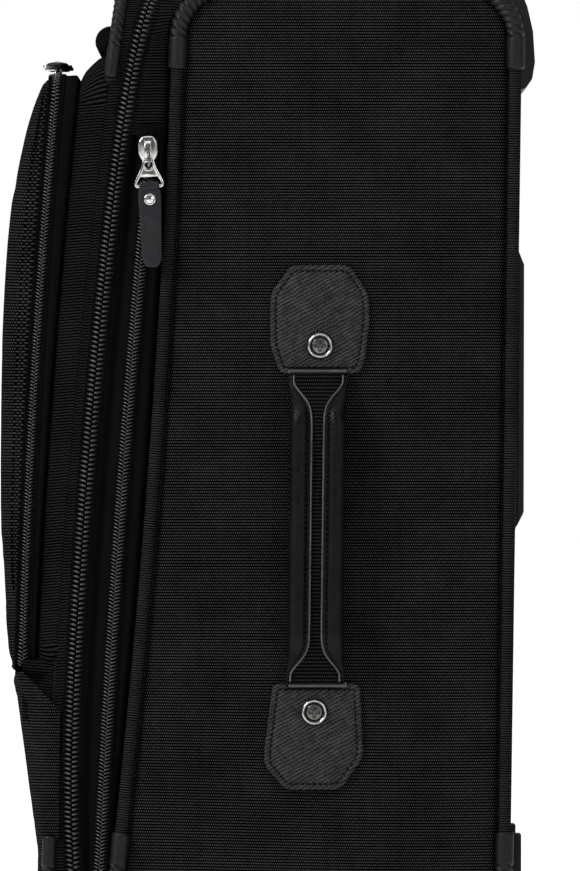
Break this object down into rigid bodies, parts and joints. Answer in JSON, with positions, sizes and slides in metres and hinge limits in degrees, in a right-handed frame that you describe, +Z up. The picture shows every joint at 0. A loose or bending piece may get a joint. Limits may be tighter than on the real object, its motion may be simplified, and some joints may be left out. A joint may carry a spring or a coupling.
{
  "type": "softside upright suitcase",
  "caption": "Softside upright suitcase on inline wheels, wedge shaped in depth, with zipped lid, front pocket, tapered expansion, trolley handle and padded carry handles.",
  "frame": {"origin": "on the floor, at the middle of the footprint of the closed case", "axes": "+X towards the side with the carry handle, -Y towards the front pocket, +Z up"},
  "size_m": [0.3937, 0.2868, 0.5726],
  "materials": {
    "board": "matte fibre board",
    "lining_fabric": "fine woven polyester",
    "ballistic_nylon": "ribbed ballistic nylon",
    "piping_fabric": "fabric covered piping",
    "moulded_trim": "satin moulded",
    "tape_fabric": "smooth twill",
    "zip": "satin coil and woven tape",
    "webbing": "woven webbing",
    "leather": "cross-grained",
    "metal": "polished gunmetal",
    "steel": "turned",
    "tube_aluminium": "satin anodised",
    "button_plastic": "satin",
    "feet_rubber": "matte",
    "hub_plastic": "satin",
    "tyre_rubber": "matte polyurethane"
  },
  "bodies": {
    "case": {"shell_board": "board", "lining": "lining_fabric", "tube_cover": "lining_fabric", "side_panel_right": "ballistic_nylon", "side_panel_left": "ballistic_nylon", "top_panel": "ballistic_nylon", "back_panel": "ballistic_nylon", "bottom_panel": "ballistic_nylon", "piping_right": "piping_fabric", "piping_left": "piping_fabric", "corner_guards_right": "moulded_trim", "corner_guards_left": "moulded_trim", "front_band": "tape_fabric", "expansion_zip_body": "zip", "expansion_gusset": "tape_fabric", "tie_straps": "webbing", "strap_buckles": "moulded_trim", "handle_patches": "leather", "handle_screws": "metal", "trolley_bezel": "moulded_trim", "trolley_outer_tubes": "tube_aluminium", "skid_rails": "moulded_trim", "wheel_housings": "moulded_trim", "kick_plate": "moulded_trim", "wheel_axles": "steel", "front_feet": "feet_rubber", "side_feet": "feet_rubber"},
    "front_frame": {"front_frame": "tape_fabric", "expansion_zip_front": "zip", "main_zip_body": "zip"},
    "lid": {"lid_panel": "board", "lid_lining": "lining_fabric", "lid_piping": "piping_fabric", "lid_corner_guards": "moulded_trim", "main_zip_lid": "zip", "front_welt": "ballistic_nylon", "lid_lower_panel": "ballistic_nylon", "pocket_gusset": "ballistic_nylon"},
    "pocket": {"pocket_panel": "ballistic_nylon", "front_plate": "leather"},
    "main_slider_right": {"main_slider_right": "metal"},
    "main_slider_left": {"main_slider_left": "metal"},
    "main_pull_right": {"main_pull_right": "leather"},
    "main_pull_left": {"main_pull_left": "leather"},
    "pocket_slider_right": {"pocket_slider_right": "metal"},
    "pocket_slider_left": {"pocket_slider_left": "metal"},
    "pocket_pull_right": {"pocket_pull_right": "leather"},
    "pocket_pull_left": {"pocket_pull_left": "leather"},
    "expansion_slider": {"expansion_slider": "metal"},
    "expansion_pull": {"expansion_pull": "leather"},
    "trolley_middle": {"trolley_middle_tubes": "tube_aluminium"},
    "trolley_inner": {"trolley_inner_tubes": "tube_aluminium", "trolley_grip": "moulded_trim"},
    "trolley_button": {"trolley_button": "button_plastic"},
    "wheel_right": {"wheel_hub_right": "hub_plastic", "wheel_tyre_right": "tyre_rubber"},
    "wheel_left": {"wheel_hub_left": "hub_plastic", "wheel_tyre_left": "tyre_rubber"},
    "side_handle": {"side_handle_grip": "leather"},
    "top_handle": {"top_handle_grip": "leather"}
  },
  "joints": [
    {"name": "expansion_tilt", "type": "hinge", "parent": "case", "child": "front_frame", "pos_m": [0, -0.0555, 0.555], "axis": [-1, 0, 0], "range_deg": [0, 6]},
    {"name": "lid_hinge", "type": "hinge", "parent": "front_frame", "child": "lid", "pos_m": [0, -0.1034, 0.0455], "axis": [1, 0, 0], "range_deg": [0, 90]},
    {"name": "pocket_hinge", "type": "hinge", "parent": "lid", "child": "pocket", "pos_m": [0, -0.1388, 0.1919], "axis": [1, 0, 0], "range_deg": [0, 45]},
    {"name": "main_slider_right_slide", "type": "slide", "parent": "front_frame", "child": "main_slider_right", "axis": [1, 0, 0], "range_m": [0, 0.115]},
    {"name": "main_slider_left_slide", "type": "slide", "parent": "front_frame", "child": "main_slider_left", "axis": [-1, 0, 0], "range_m": [0, 0.115]},
    {"name": "main_pull_right_swing", "type": "hinge", "parent": "main_slider_right", "child": "main_pull_right", "pos_m": [0.016, -0.0635, 0.5614], "axis": [-1, 0, 0], "range_deg": [0, 150]},
    {"name": "main_pull_left_swing", "type": "hinge", "parent": "main_slider_left", "child": "main_pull_left", "pos_m": [-0.016, -0.0635, 0.5614], "axis": [-1, 0, 0], "range_deg": [0, 150]},
    {"name": "pocket_slider_right_slide", "type": "slide", "parent": "pocket", "child": "pocket_slider_right", "axis": [1, 0, 0], "range_m": [0, 0.1]},
    {"name": "pocket_slider_left_slide", "type": "slide", "parent": "pocket", "child": "pocket_slider_left", "axis": [-1, 0, 0], "range_m": [0, 0.1]},
    {"name": "pocket_pull_right_swing", "type": "hinge", "parent": "pocket_slider_right", "child": "pocket_pull_right", "pos_m": [0.029, -0.1175, 0.5072], "axis": [0, -1, 0], "range_deg": [0, 90]},
    {"name": "pocket_pull_left_swing", "type": "hinge", "parent": "pocket_slider_left", "child": "pocket_pull_left", "pos_m": [-0.029, -0.1175, 0.5072], "axis": [0, 1, 0], "range_deg": [0, 90]},
    {"name": "expansion_slider_slide", "type": "slide", "parent": "case", "child": "expansion_slider", "axis": [0, -0.0806, -0.9967], "range_m": [0, 0.24]},
    {"name": "expansion_pull_swing", "type": "hinge", "parent": "expansion_slider", "child": "expansion_pull", "pos_m": [0.187, -0.06711, 0.4565], "axis": [0, -0.9966, -0.0819], "range_deg": [0, 150]},
    {"name": "trolley_stage_1", "type": "slide", "parent": "case", "child": "trolley_middle", "axis": [0, 0, 1], "range_m": [0, 0.24]},
    {"name": "trolley_stage_2", "type": "slide", "parent": "trolley_middle", "child": "trolley_inner", "axis": [0, 0, 1], "range_m": [0, 0.24]},
    {"name": "trolley_button_press", "type": "slide", "parent": "trolley_inner", "child": "trolley_button", "axis": [0, 0, -1], "range_m": [0, 0.003], "stiffness_N_per_m": 800, "springref_m": -0.001},
    {"name": "wheel_right_spin", "type": "hinge", "parent": "case", "child": "wheel_right", "pos_m": [0.15, 0.108, 0.035], "axis": [1, 0, 0], "continuous": true},
    {"name": "wheel_left_spin", "type": "hinge", "parent": "case", "child": "wheel_left", "pos_m": [-0.15, 0.108, 0.035], "axis": [1, 0, 0], "continuous": true},
    {"name": "side_handle_pull", "type": "slide", "parent": "case", "child": "side_handle", "axis": [1, 0, 0], "range_m": [0, 0.018], "stiffness_N_per_m": 250},
    {"name": "top_handle_pull", "type": "slide", "parent": "case", "child": "top_handle", "axis": [0, 0, 1], "range_m": [0, 0.018], "stiffness_N_per_m": 250}
  ]
}
